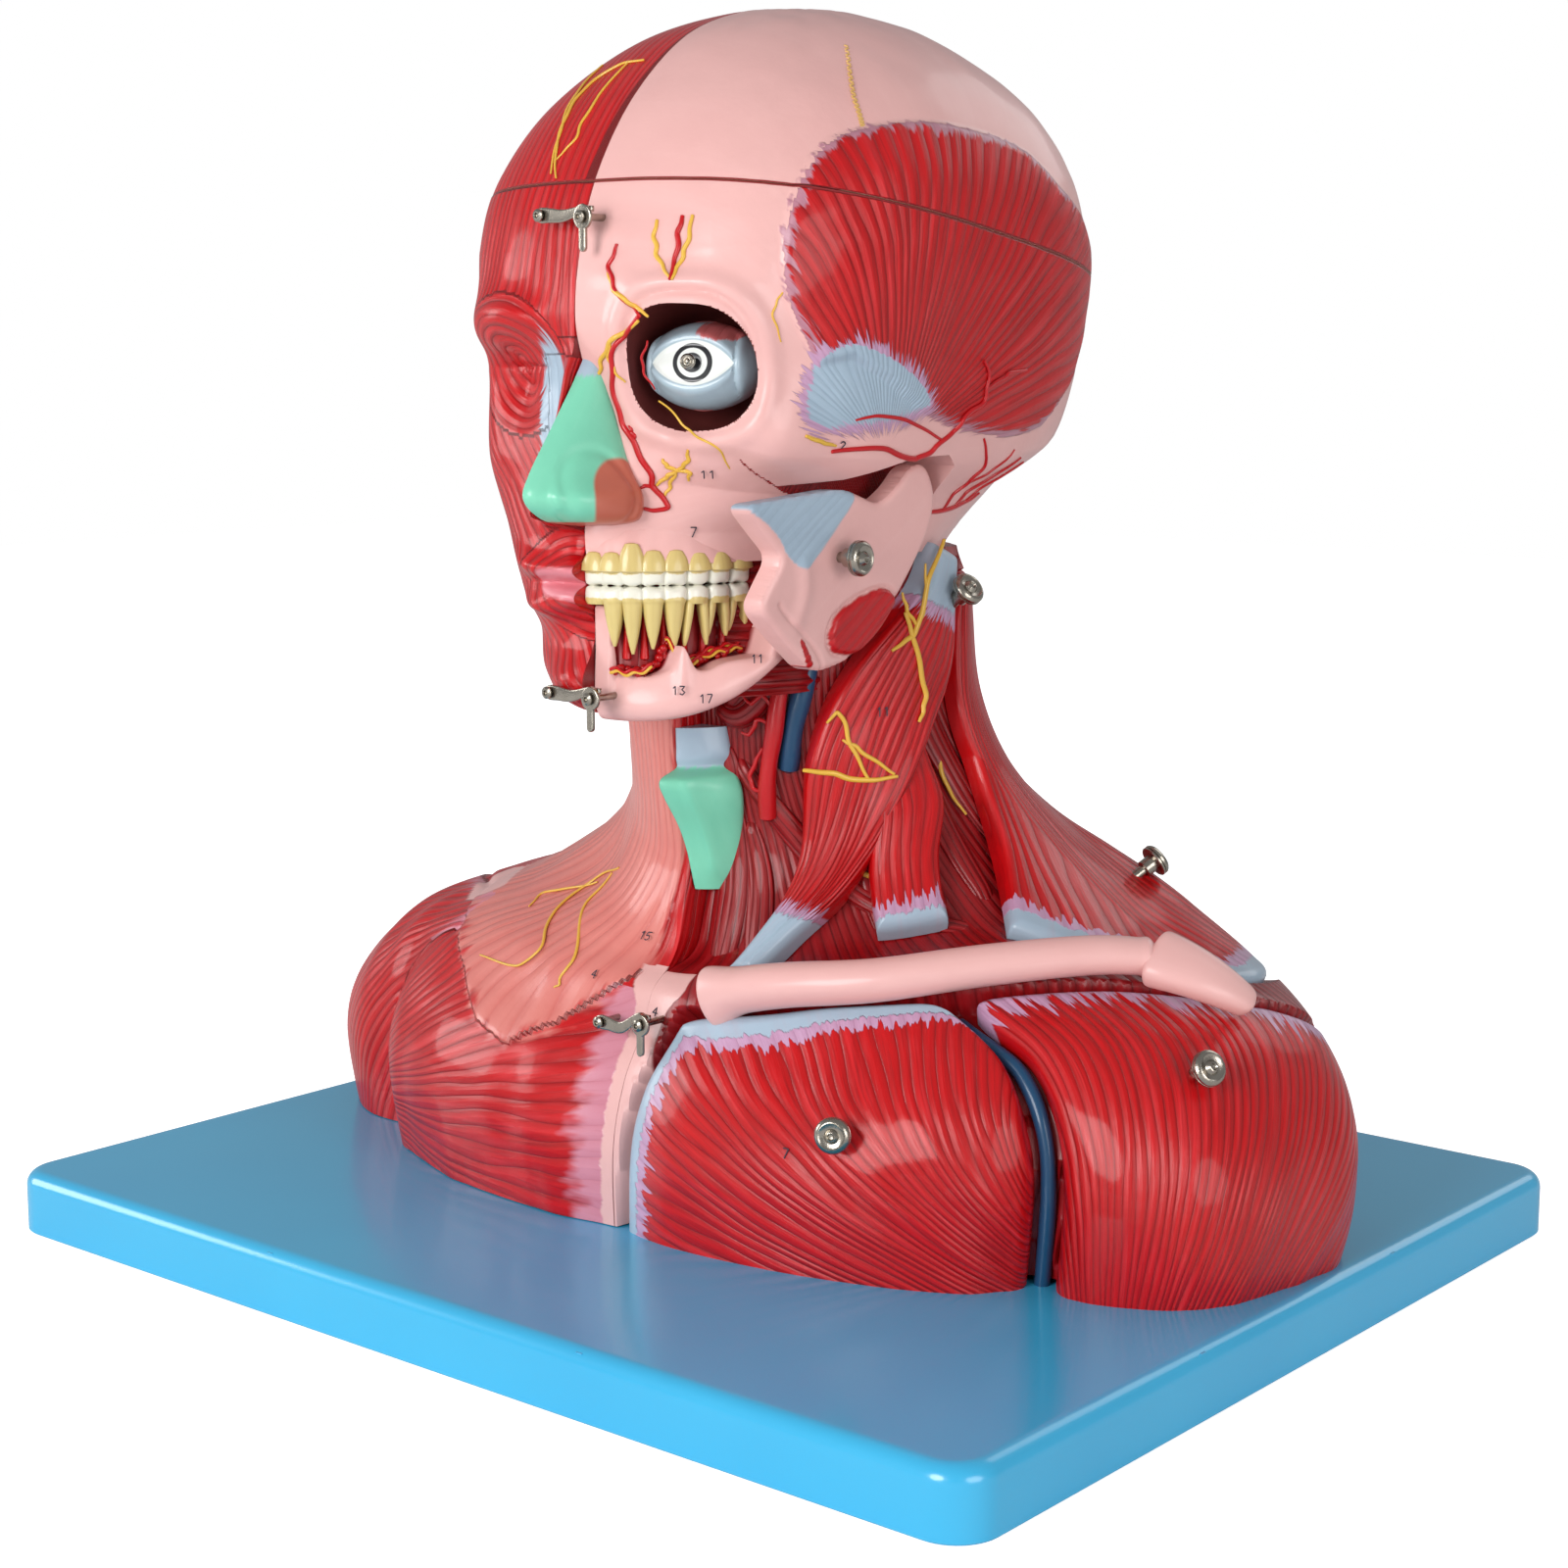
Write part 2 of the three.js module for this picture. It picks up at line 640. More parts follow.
// What a plate needs cleared beneath and beside it, and all the way out along its pin.
function muscleRoom(rows, thickness, columns, steps, direction) {
  const places = placesBetween(rows, columns, steps, roomGrow_share);
  const floor = bust.sheet(places, () => thickness + plateGap);
  const roof = bust.sheet(places, () => -cutOver / 4);
  const away = floor.map((row) => row.map((p) => p.clone().addScaledVector(direction, cutOver)));
  return solid(plateGeometry(roof, floor)).add(solid(plateGeometry(away, floor)));
}

const midCutter = {
  left: solid(
    box(
      new THREE.Vector3(seatGap / 2, -boardLength, -boardLength),
      new THREE.Vector3(boardLength, boardLength, boardLength * 2),
    ),
  ),
  right: solid(
    box(
      new THREE.Vector3(-boardLength, -boardLength, -boardLength),
      new THREE.Vector3(-seatGap / 2, boardLength, boardLength * 2),
    ),
  ),
};

// Everything above the sloping cut that frees the cap, less a share of the gap there.
function aboveCapCut(offset) {
  const block = box(
    new THREE.Vector3(-boardLength, -boardLength, offset),
    new THREE.Vector3(boardLength, boardLength, boardLength),
  );
  block.rotateX(THREE.MathUtils.degToRad(capCutSlope_deg)).translate(0, 0, capCutHeight);
  return solid(block);
}

function above(height) {
  return solid(
    box(
      new THREE.Vector3(-boardLength, -boardLength, height),
      new THREE.Vector3(boardLength, boardLength, boardLength * 2),
    ),
  );
}

const skullBody = solid(skull.body(headTurns, skullStations));
const grownSkull = solid(skull.body(headTurns, skullStations, () => -seatGap));
const faceBody = solid(face.body(headTurns, [...faceStations, ...[11.6, 12.3, 13, 13.6, 14.2, 15]]));
const grownFace = solid(
  face.body(headTurns, [...faceStations, ...[11.6, 12.3, 13, 13.6, 14.2, 15]], () => -seatGap),
);
function overEyes(extra) {
  const high = new THREE.Vector3(boardLength, -headFrontDepth * 0.38 + extra, 0);
  high.z = orbitCentre.z + orbitHalfHeight * 1.35 + extra;
  return solid(box(new THREE.Vector3(-boardLength, -boardLength, -boardLength), high));
}
const cavityBall = solid(roundedBall(cavityCentre, cavityRadii, 2.3, 20, 10, uprightTurn));
const cavity = cavityBall.subtract(overEyes(0));
// The brain lifts straight out, so the skull's hollow doesn't close in again above its widest section.
function shaft() {
  const ring = (rise) =>
    Array.from({ length: 20 }, (_, i) => {
      const turn = (2 * Math.PI * i) / 20;
      const [c, s] = [Math.cos(turn), Math.sin(turn)].map((value) => signedPower(value, 2 / 2.3));
      return new THREE.Vector3(c * cavityHalfWidth, s * cavityHalfLength, rise).add(cavityCentre);
    });
  return solid(loft([ring(0), ring(cutOver)]));
}

// Board: a moulded tray, open below, with a rounded upper edge and stiffening ribs.
function roundedRing(halfX, halfY, radius, z) {
  const points = [];
  const steps = 4;
  for (const [sx, sy, start] of [[1, 1, 0], [-1, 1, 1], [-1, -1, 2], [1, -1, 3]])
    for (let i = 0; i <= steps; i++) {
      const angle = (Math.PI / 2) * (start + i / steps);
      const [cx, cy] = [sx * (halfX - radius), sy * (halfY - radius)];
      points.push(new THREE.Vector3(cx + radius * Math.cos(angle), cy + radius * Math.sin(angle), z));
    }
  return points;
}

function boardBody() {
  const [halfX, halfY] = [boardLength / 2, boardWidth / 2];
  const rings = [roundedRing(halfX, halfY, boardCornerRadius, 0)];
  const steps = 3;
  for (let i = 0; i <= steps; i++) {
    const angle = ((Math.PI / 2) * i) / steps;
    const inset = boardEdgeRadius * (1 - Math.cos(angle));
    const height = boardThickness - boardEdgeRadius * (1 - Math.sin(angle));
    rings.push(roundedRing(halfX - inset, halfY - inset, boardCornerRadius - inset, height));
  }
  const inner = (z) =>
    roundedRing(halfX - boardWall, halfY - boardWall, boardCornerRadius - boardWall, z);
  let tray = solid(loft(rings)).subtract(
    solid(loft([inner(-boardWall), inner(boardThickness - boardWall)])),
  );
  const ribTop = boardThickness - boardWall / 2;
  const ribLow = ribTop - ribHeight;
  for (const share of [-0.33, 0.33]) {
    const across = box(
      new THREE.Vector3(share * halfX - ribThickness / 2, boardWall / 2 - halfY, ribLow),
      new THREE.Vector3(share * halfX + ribThickness / 2, halfY - boardWall / 2, ribTop),
    );
    const along = box(
      new THREE.Vector3(boardWall / 2 - halfX, share * halfY - ribThickness / 2, ribLow),
      new THREE.Vector3(halfX - boardWall / 2, share * halfY + ribThickness / 2, ribTop),
    );
    tray = tray.add(solid(across)).add(solid(along));
  }
  for (const [x, y] of screwPlaces) tray = tray.subtract(screwBore(x, y));
  return tray;
}

// Screws from below, which hold the bone half on the board.
const screwPlaces = [
  [0.13, -0.18],
  [0.33, 0.13],
  [0.1, 0.4],
].map(([x_share, y_share]) => [x_share * boardLength, (y_share * boardWidth) / 2]);

function screwBore(x, y) {
  const start = new THREE.Vector3(x, y, 0);
  const top = new THREE.Vector3(x, y, bustBase + screwLength);
  return solid(rod(screwRadius + seatGap, start, top, 10));
}

function boardScrew(x, y) {
  const seat = boardThickness - boardWall - seatGap;
  const profile = [
    [0, seat - screwHeadThickness],
    [screwHeadRadius * 0.8, seat - screwHeadThickness],
    [screwHeadRadius, seat - screwHeadThickness * 0.6],
    [screwHeadRadius, seat],
    [screwRadius, seat],
    [screwRadius, seat + screwLength - screwRadius],
    [0, seat + screwLength],
  ];
  return solid(turned(profile, new THREE.Vector3(x, y, 0), up, 8));
}

// Dowels across the midline: fixed in the bone half, and a sliding fit in the muscle half.
const dowelPlaces = [
  [-0.12, bustBase + bustHeight * 0.14],
  [0.16, bustBase + bustHeight * 0.14],
  [0.02, bustBase + bustHeight * 0.62],
  [0.02, chinHeight + headHeight * 0.302],
].map(([y_share, height]) => [y_share * boardWidth, height]);

function dowel([y, z], extra) {
  const reach = dowelReach + extra;
  const [start, end] = [new THREE.Vector3(-reach, y, z), new THREE.Vector3(reach, y, z)];
  return solid(rod(dowelRadius + extra, start, end, 10));
}

// Latches: each crosses the midline at a height, standing off the surface at a depth.
const latchPlaces = [
  { name: "forehead", depth_share: -0.97, height: chinHeight + headHeight * 0.69, drop_share: 0.05 },
  { name: "chin", depth_share: -0.96, height: chinHeight + headHeight * 0.04, drop_share: 0.02 },
  { name: "breast", depth_share: -0.75, height: bustBase + bustHeight * 0.3, drop_share: -0.12 },
];

function inLatchPlane(shape, thickness, place, lift) {
  const geometry = new THREE.ExtrudeGeometry(shape, {
    depth: thickness,
    bevelEnabled: false,
    curveSegments: 3,
  });
  geometry.rotateX(Math.PI / 2).translate(0, place.front - lift, 0);
  return geometry;
}

function latchParts(place) {
  place.front = place.depth_share * headFrontDepth;
  const drop = place.drop_share * latchSpan;
  const pivot = new THREE.Vector2(-latchSpan * 0.6, place.height + drop / 2);
  const stud = new THREE.Vector2(latchSpan * 0.4, place.height - drop / 2);
  const forward = new THREE.Vector3(0, -1, 0);
  const screw = (spot, lift) => {
    const head = lift + latchPlate + seatGap;
    const profile = [
      [0, -latchScrewDepth],
      [latchNeckRadius, -latchScrewDepth],
      [latchNeckRadius, head],
      [latchScrewRadius, head],
      [latchScrewRadius * 0.6, head + latchScrewHead],
      [0, head + latchScrewHead],
    ];
    return solid(turned(profile, new THREE.Vector3(spot.x, place.front, spot.y), forward, 8));
  };
  // The arm bows down between its ends and its far end rests on the stud's neck.
  const neck = latchNeckRadius + seatGap;
  const arm = new THREE.Shape();
  const w = latchArmHalfWidth;
  arm.moveTo(pivot.x - w, pivot.y);
  arm.quadraticCurveTo(pivot.x - w, pivot.y - w, pivot.x, pivot.y - w);
  arm.quadraticCurveTo((pivot.x + stud.x) / 2, pivot.y - w * 1.4, stud.x - w, stud.y + neck * 0.6);
  arm.quadraticCurveTo(stud.x - neck, stud.y + neck, stud.x, stud.y + neck);
  arm.lineTo(stud.x + w, stud.y + neck);
  arm.lineTo(stud.x + w, stud.y + neck + w * 0.8);
  arm.lineTo(stud.x - w, stud.y + neck + w * 0.8);
  arm.quadraticCurveTo((pivot.x + stud.x) / 2, pivot.y + w * 0.3, pivot.x, pivot.y + w);
  arm.quadraticCurveTo(pivot.x - w, pivot.y + w, pivot.x - w, pivot.y);
  const armBody = solid(inLatchPlane(arm, latchPlate, place, latchStandOff)).subtract(
    solid(
      rod(
        neck,
        new THREE.Vector3(pivot.x, place.front - cutOver, pivot.y),
        new THREE.Vector3(pivot.x, place.front + cutOver, pivot.y),
        12,
      ),
    ),
  );
  // The lever turns on the stud in front of the arm, and its tail hangs.
  const lever = new THREE.Shape();
  const [r, t] = [leverHeadRadius, leverTailHalfWidth];
  const start = Math.asin(t / r) - Math.PI / 2;
  lever.absarc(stud.x, stud.y, r, start, 2 * Math.PI - Math.PI / 2 - Math.asin(t / r), false);
  lever.lineTo(stud.x - t, stud.y - leverTailLength + t);
  lever.absarc(stud.x, stud.y - leverTailLength + t, t, Math.PI, 2 * Math.PI, false);
  lever.closePath();
  const leverLift = latchStandOff + latchPlate + seatGap;
  const leverBody = solid(inLatchPlane(lever, latchPlate, place, leverLift)).subtract(
    solid(
      rod(
        neck,
        new THREE.Vector3(stud.x, place.front - cutOver, stud.y),
        new THREE.Vector3(stud.x, place.front + cutOver, stud.y),
        12,
      ),
    ),
  );
  return {
    arm: armBody,
    lever: leverBody,
    pivotScrew: screw(pivot, latchStandOff),
    studScrew: screw(stud, leverLift),
    pivotRoom: screwRoom(pivot, place),
    studRoom: screwRoom(stud, place),
  };
}

// The hole that a latch screw is driven into, and the flat boss around it under the latch.
function screwRoom(spot, place) {
  const deep = latchScrewDepth + seatGap;
  const start = new THREE.Vector3(spot.x, place.front + deep, spot.y);
  const end = new THREE.Vector3(spot.x, place.front - cutOver / 2, spot.y);
  return solid(rod(latchNeckRadius + seatGap, start, end, 10));
}

const latches = latchPlaces.map((place) => ({ place, parts: latchParts(place) }));

// Room in front of the midline that the arms and levers turn in, cut from both halves.
function latchClearing(place) {
  const reach = latchSpan * 1.2;
  return solid(
    box(
      new THREE.Vector3(-latchSpan * 0.6 - reach, place.front - cutOver, place.height - reach * 0.62),
      new THREE.Vector3(reach, place.front - latchStandOff + seatGap, place.height + reach * 1.1),
    ),
  );
}

// Nose: a ridge that widens to the wings, one half on each side of the midline.
function noseBody(extra) {
  const stations = [
    [1, 0.3, 0.05], [0.8, 0.42, 0.28], [0.55, 0.58, 0.6], [0.3, 0.78, 0.92], [0.16, 0.96, 1],
    [0.04, 0.92, 0.72], [0, 0.5, 0.3],
  ];
  const base = at(0, -0.91, 0.275);
  const rings = stations.map(([height_share, width_share, depth_share]) => {
    const halfWidth = noseHalfWidth * width_share + extra;
    const depth = noseProjection * depth_share + extra;
    return Array.from({ length: 16 }, (_, i) => {
      const angle = (2 * Math.PI * i) / 16;
      const forward = Math.cos(angle);
      return new THREE.Vector3(
        halfWidth * Math.sin(angle),
        base.y - (forward > 0 ? depth * forward ** 1.3 : noseHalfWidth * 0.5 * forward),
        base.z + noseLength * height_share,
      );
    });
  });
  return solid(loft(rings));
}

const jawBack = headFrontDepth * 0.3;

// Curves of the lower jaw's outer face and of the tooth row, by an angle from the midline.
function jawPoint(angle_deg, inward, height) {
  const angle = THREE.MathUtils.degToRad(angle_deg);
  const depth = headFrontDepth * 0.6 - inward;
  const power = 2 / 2.2;
  return new THREE.Vector3(
    (jawHalfWidth - inward) * Math.sin(angle) ** power,
    -jawBack - depth * Math.cos(angle) ** power,
    height,
  );
}

function dentalPoint(angle_deg, inward, height) {
  const angle = THREE.MathUtils.degToRad(angle_deg);
  const back = -headFrontDepth * 0.48;
  return new THREE.Vector3(
    (dentalHalfWidth - inward) * Math.sin(angle),
    back - (dentalDepth - inward) * Math.cos(angle),
    height,
  );
}

const lowerRoot_shares = [0, 0.85, 1, 0.9, 0.9, 0.85, 0.7, 0.6];
const jawEnd_deg = 64;
const dentalEnd_deg = 84;
const jawOverrun_share = 1.1;
const windowStart_share = 0.1;
const toothSides = 6;

// The lower jaw: a rim below, and behind it the wall that carries the teeth, open as a window between.
function jawBody() {
  const rings = [];
  const steps = 14;
  for (let i = 0; i <= steps; i++) {
    const share = (i / steps) * jawOverrun_share;
    const [jaw_deg, dental_deg] = [share * jawEnd_deg, share * dentalEnd_deg];
    const low = chinHeight + jawRimHeight * (0.02 + 0.9 * share ** 3);
    const closing = THREE.MathUtils.smoothstep(share, 0.99, jawOverrun_share);
    const top = jawWallTop;
    const open = share < windowStart_share ? 0 : 1 - closing;
    const gumLine = biteHeight - crownHeight - seatGap * 2;
    const sill = chinHeight + jawRimHeight * (1 + 0.35 * share);
    const rim = THREE.MathUtils.lerp(gumLine, sill, open);
    const outer = (inward, z) => jawPoint(jaw_deg, inward, z);
    const wall = (inward, z) => dentalPoint(dental_deg, inward, z);
    const shelf = crownDepth * 1.08;
    const lean = THREE.MathUtils.lerp(0.4, 0, open) * crownDepth;
    rings.push([
      outer(0, low + jawRimHeight * 0.3),
      outer(crownDepth * 0.3, low),
      outer(crownDepth * 1.3, low),
      outer(crownDepth * 1.9, low + jawRimHeight * 0.4),
      wall(crownDepth * 1.9, low + jawRimHeight),
      wall(crownDepth * 1.9, top),
      wall(shelf, top),
      wall(shelf, rim - seatGap),
      outer(lean, rim),
    ]);
  }
  return solid(sectionLoft(rings));
}

// The band that the lower jaw takes up, cleared out of the core behind it.
function jawRoom() {
  const rings = [];
  const steps = 12;
  for (let i = 0; i <= steps; i++) {
    const share = (i / steps) * jawOverrun_share * 1.08;
    const [jaw_deg, dental_deg] = [share * jawEnd_deg, share * dentalEnd_deg];
    const corner = (z) => [
      jawPoint(jaw_deg, -crownDepth, z),
      dentalPoint(dental_deg, crownDepth * 1.9 + seatGap, z),
    ];
    const [outerLow, innerLow] = corner(chinHeight - jawRimHeight);
    const [outerHigh, innerHigh] = corner(jawWallTop + jawRimHeight);
    rings.push([outerLow, innerLow, innerHigh, outerHigh]);
  }
  return solid(loft(rings));
}

// Upper jaw: the arch of bone over the upper teeth, run up into the skull.
function upperJaw() {
  const rings = [0, 0.04, 0.09, 0.14].map((rise_share, j) =>
    Array.from({ length: 24 }, (_, i) => {
      const angle = (2 * Math.PI * i) / 24;
      const shrink = 1 - 0.06 * j;
      const back = -headFrontDepth * 0.48;
      const forward = Math.cos(angle);
      return new THREE.Vector3(
        (dentalHalfWidth + seatGap) * shrink * Math.sin(angle),
        back - forward * (forward > 0 ? dentalDepth * shrink : dentalDepth / 3),
        skullBase + rise_share * headHeight,
      );
    }),
  );
  return solid(loft(rings));
}

// Ear of the muscle half: a flat shell with a hollow, on the side of the head.
function earBody() {
  const centre = at(-0.93, 0.14, 0.4);
  const tilt = new THREE.Quaternion().setFromEuler(new THREE.Euler(0.25, 0, 0.35));
  const radii = new THREE.Vector3(earThickness, earHalfLength, earHalfHeight);
  const shell = solid(roundedBall(centre, radii, 2, 12, 8, tilt));
  const hollow = solid(
    roundedBall(
      centre.clone().add(new THREE.Vector3(-earThickness * 1.2, -earHalfLength * 0.1, 0)),
      new THREE.Vector3(earThickness, earHalfLength * 0.6, earHalfHeight * 0.66),
      2,
      10,
      6,
      tilt,
    ),
  );
  return shell.subtract(hollow);
}

// A loft whose end sections are flat outlines that may bend inwards.
function sectionLoft(rings) {
  const triangles = [];
  const count = rings[0].length;
  for (let j = 0; j + 1 < rings.length; j++)
    for (let i = 0; i < count; i++) {
      const k = (i + 1) % count;
      triangles.push(...quad(rings[j][i], rings[j][k], rings[j + 1][k], rings[j + 1][i]));
    }
  for (const [ring, flip] of [[rings[0], true], [rings[rings.length - 1], false]]) {
    const flat = ring.map((p) => new THREE.Vector2(Math.hypot(p.x, p.y + jawBack), p.z));
    const forward = flip === THREE.ShapeUtils.isClockWise(flat);
    for (const corners of THREE.ShapeUtils.triangulateShape(flat, [])) {
      const [a, b, c] = corners.map((i) => ring[i]);
      triangles.push(forward ? [a, b, c] : [c, b, a]);
    }
  }
  return trianglesGeometry(triangles);
}

// One tooth, as a stack of oval rings down its own axis: crown edge, neck, then a tapering root.
function tooth(angle_deg, width, edge, direction, root) {
  const stations = [
    [0, 0.44, 0.3], [0.25, 0.53, 0.46], [0.8, 0.53, 0.5], [1, 0.42, 0.46],
    ...(root > 0 ? [[1.5, 0.34, 0.4], [2.4, 0.24, 0.28], [1 + root / crownHeight, 0.08, 0.1]] : []),
  ];
  const here = dentalPoint(angle_deg, crownDepth / 2, 0);
  const ahead = dentalPoint(angle_deg + 1, crownDepth / 2, 0).sub(here).normalize();
  const out = new THREE.Vector3(ahead.y, -ahead.x, 0);
  const rings = stations.map(([down_share, half_share, depth_share]) => {
    const slant = root > 0 ? Math.max(0, down_share - 1) * crownDepth * 0.1 : 0;
    return Array.from({ length: toothSides }, (_, i) => {
      const turn = (2 * Math.PI * (i + 0.5)) / toothSides;
      return here
        .clone()
        .addScaledVector(ahead, width * half_share * Math.cos(turn) * 1.08)
        .addScaledVector(out, crownDepth * depth_share * Math.sin(turn) + slant)
        .setZ(edge + direction * crownHeight * down_share);
    });
  });
  return solid(loft(rings));
}

function toothRow(edge, direction, rootShares) {
  const pitch_deg = dentalEnd_deg / toothCount;
  const width = (dentalDepth * 1.32) / toothCount;
  let row = null;
  for (let i = 0; i < toothCount; i++) {
    const angle_deg = (i + 0.56) * pitch_deg;
    const one = tooth(angle_deg, width, edge, direction, rootShares[i] * rootLength);
    row = row ? row.add(one) : one;
  }
  return row.intersect(midCutter.left);
}

// The removable branch of the jaw, drawn from the side as [y, z] shares and given its thickness.
const ramusSide_shares = [
  [-0.857, 0.308], [-0.745, 0.262], [-0.673, 0.234], [-0.724, 0.198], [-0.765, 0.166], [-0.633, 0.115],
  [-0.5, 0.069], [-0.347, 0.083], [-0.225, 0.12], [-0.092, 0.202], [-0.02, 0.257], [0, 0.308],
  [-0.06, 0.354], [-0.133, 0.35], [-0.184, 0.322], [-0.265, 0.299], [-0.347, 0.312], [-0.429, 0.324],
  [-0.633, 0.316],
];
function ramusLean(y, z) {
  return headHalfWidth * (0.64 + 0.26 * ((z - chinHeight) / headHeight) + 0.1 * (y / headFrontDepth));
}
function ramusBody(extra) {
  const shape = new THREE.Shape(
    ramusSide_shares.map(([y_share, z_share]) => {
      const p = at(0, y_share, z_share);
      return new THREE.Vector2(p.y, p.z);
    }),
  );
  const geometry = new THREE.ExtrudeGeometry(shape, {
    depth: ramusThickness + 2 * extra,
    bevelEnabled: true,
    bevelThickness: seatGap * 4,
    bevelSize: seatGap * 4,
    bevelOffset: extra - seatGap * 4,
    bevelSegments: 1,
  });
  const position = geometry.getAttribute("position");
  for (let i = 0; i < position.count; i++) {
    const [y, z, depth] = [position.getX(i), position.getY(i), position.getZ(i)];
    position.setXYZ(i, ramusLean(y, z) + depth - extra, y, z);
  }
  return solid(geometry);
}

// The space below the cheek arch that the branch of the jaw lies in and slides out of.
const fossaSide_shares = [
  [-0.9, 0.18], [-0.89, 0.317], [-0.64, 0.326], [-0.42, 0.336], [-0.2, 0.364], [-0.03, 0.366],
  [0.02, 0.35], [0.02, 0.18],
];
function fossaRoom() {
  const shape = new THREE.Shape(
    fossaSide_shares.map(([y_share, z_share]) => {
      const p = at(0, y_share, z_share);
      return new THREE.Vector2(p.y, p.z);
    }),
  );
  const geometry = new THREE.ExtrudeGeometry(shape, { depth: cutOver, bevelEnabled: false });
  const inner = headHalfWidth * 0.6;
  const position = geometry.getAttribute("position");
  for (let i = 0; i < position.count; i++) {
    const [y, z, depth] = [position.getX(i), position.getY(i), position.getZ(i)];
    position.setXYZ(i, inner + depth, y, z);
  }
  return solid(geometry);
}

// Floor of the mouth and inner jaw muscles: the core that the bone half's jaw closes round.
function mouthCore() {
  const rings = [0.03, 0.1, 0.19, 0.222].map((z_share) =>
    Array.from({ length: 20 }, (_, i) => {
      const angle = (2 * Math.PI * i) / 20;
      const p = at(0.46 * Math.sin(angle), -0.32 - 0.36 * Math.cos(angle), z_share);
      return p;
    }),
  );
  return solid(loft(rings));
}

function clavicleCurve() {
  const places = [
    [0.13, -0.735, 0.352], [0.19, -0.73, 0.372], [0.28, -0.7, 0.39], [0.42, -0.59, 0.408],
    [0.56, -0.36, 0.432], [0.68, -0.13, 0.445], [0.755, 0.01, 0.442],
  ];
  return new THREE.CatmullRomCurve3(
    places.map(
      ([x_share, y_share, z_share]) =>
        new THREE.Vector3(
          x_share * bustHalfWidth,
          y_share * (y_share < 0 ? bustFrontDepth : bustBackDepth),
          bustBase + z_share * bustHeight,
        ),
    ),
  );
}

function clavicle(extra) {
  const radius = clavicleRadius + extra;
  return solid(
    sweep(clavicleCurve(), 10, up, (t) => {
      const swell = 1 + 0.35 * (1 - THREE.MathUtils.smoothstep(t, 0, 0.2));
      return ovalSection(radius * (1 - 0.1 * t), radius * swell * (1 - 0.28 * t), 8);
    }),
  );
}

function acromion(extra) {
  const start = clavicleCurve().getPoint(1).add(new THREE.Vector3(clavicleRadius * 0.5, 0, 0));
  const reach = bustHalfWidth * 0.13;
  const curve = new THREE.QuadraticBezierCurve3(
    start,
    start.clone().add(new THREE.Vector3(reach * 0.7, reach * 0.1, -reach * 0.12)),
    start.clone().add(new THREE.Vector3(reach, reach * 0.6, -reach * 0.55)),
  );
  const height = acromionHalfHeight + extra;
  return solid(
    sweep(curve, 4, up, (t) =>
      ovalSection(clavicleRadius * (1.4 - 0.5 * t) + extra, height * (1 - 0.2 * t), 8),
    ),
  );
}

// Vessels follow the neck: [turn_deg, station, depth share of the deep inset].
function vessel(route, radius, steps, sides) {
  const curve = new THREE.CatmullRomCurve3(
    route.map(([turn, station, depth_share]) => bust.point(turn, station, deepNeckInset * depth_share)),
  );
  const section = () => ovalSection(radius, radius, sides);
  return solid(sweep(curve, steps, new THREE.Vector3(1, -1, 0), section)).intersect(above(bustBase));
}
const carotidRoute_shares = [
  [24, 7.4, 0.8], [27, 7.9, 0.7], [31, 8.4, 0.65], [34, 8.9, 0.7], [38, 9.3, 0.8],
];
const jugularRoute_shares = [[34, 7.9, 1.1], [38, 8.4, 0.95], [43, 8.9, 0.9], [48, 9.4, 1]];
const cephalicRoute_shares = [
  [48.3, 0.25, 0.75], [47.4, 1.2, 0.75], [46.7, 2.4, 0.75], [45.2, 3.4, 0.8], [44.4, 4, 0.95],
];

// Larynx: the shield of the thyroid cartilage with the bone above it, on the front of the deep neck.
function larynx(extra) {
  const rings = [
    [6.6, 0.5, 0.5], [6.9, 0.7, 0.85], [7.4, 0.85, 1], [7.8, 1, 1.15], [8.1, 0.8, 0.95], [8.4, 1, 0.7],
    [8.75, 0.9, 0.6],
  ].map(([station, width_share, depth_share]) => {
    const front = bust.point(0, station, deepNeckInset);
    return Array.from({ length: 10 }, (_, i) => {
      const angle = (2 * Math.PI * i) / 10;
      const forward = Math.cos(angle);
      const reach = extra + larynxDepth * (forward > 0 ? depth_share * 0.7 : 0.5);
      return new THREE.Vector3(
        (larynxHalfWidth * width_share + extra) * signedPower(Math.sin(angle), 1.2),
        front.y - reach * forward,
        front.z,
      );
    });
  });
  return solid(loft(rings)).intersect(midCutter.left);
}

// Assembly.
const group = new THREE.Group();
group.name = "anatomical_head_model";

function add(name, body, material) {
  const mesh = new THREE.Mesh(geometryOf(body), material);
  mesh.name = name;
  group.add(mesh);
  return body;
}

function pinPlace({ turn_deg, station_share, direction }) {
  return {
    origin: bust.point(turn_deg, station_share, -pinStandOff),
    direction: new THREE.Vector3(...direction).normalize(),
  };
}

add("base_board", boardBody(), boardBlue);
screwPlaces.forEach(([x, y], i) => add(`board_screw_${i + 1}`, boardScrew(x, y), steel));

// Plates of muscle, each with its pin: its corners, its thickness, and its facets across and up.
const plateParts = {
  pectoral: [[pectoralRow_shares, muscleThickness, 8, 5]],
  deltoid: [[deltoidRow_shares, muscleThickness, 9, 5]],
  trapezius: [[trapeziusRow_shares, trapeziusThickness, 8, 7]],
  sternomastoid: [
    [sternalRow_shares, muscleThickness, 3, 10],
    [clavicularRow_shares, muscleThickness, 3, 4],
  ],
};
const plates = {};
const rooms = [];
for (const [name, parts] of Object.entries(plateParts)) {
  const bodies = parts.map((part) => muscle(...part));
  plates[name] = bodies.length > 1 ? bodies[0].add(bodies[1]) : bodies[0];
  const { direction } = pinPlace(holders[name]);
  rooms.push(...parts.map((part) => muscleRoom(...part, direction)));
}
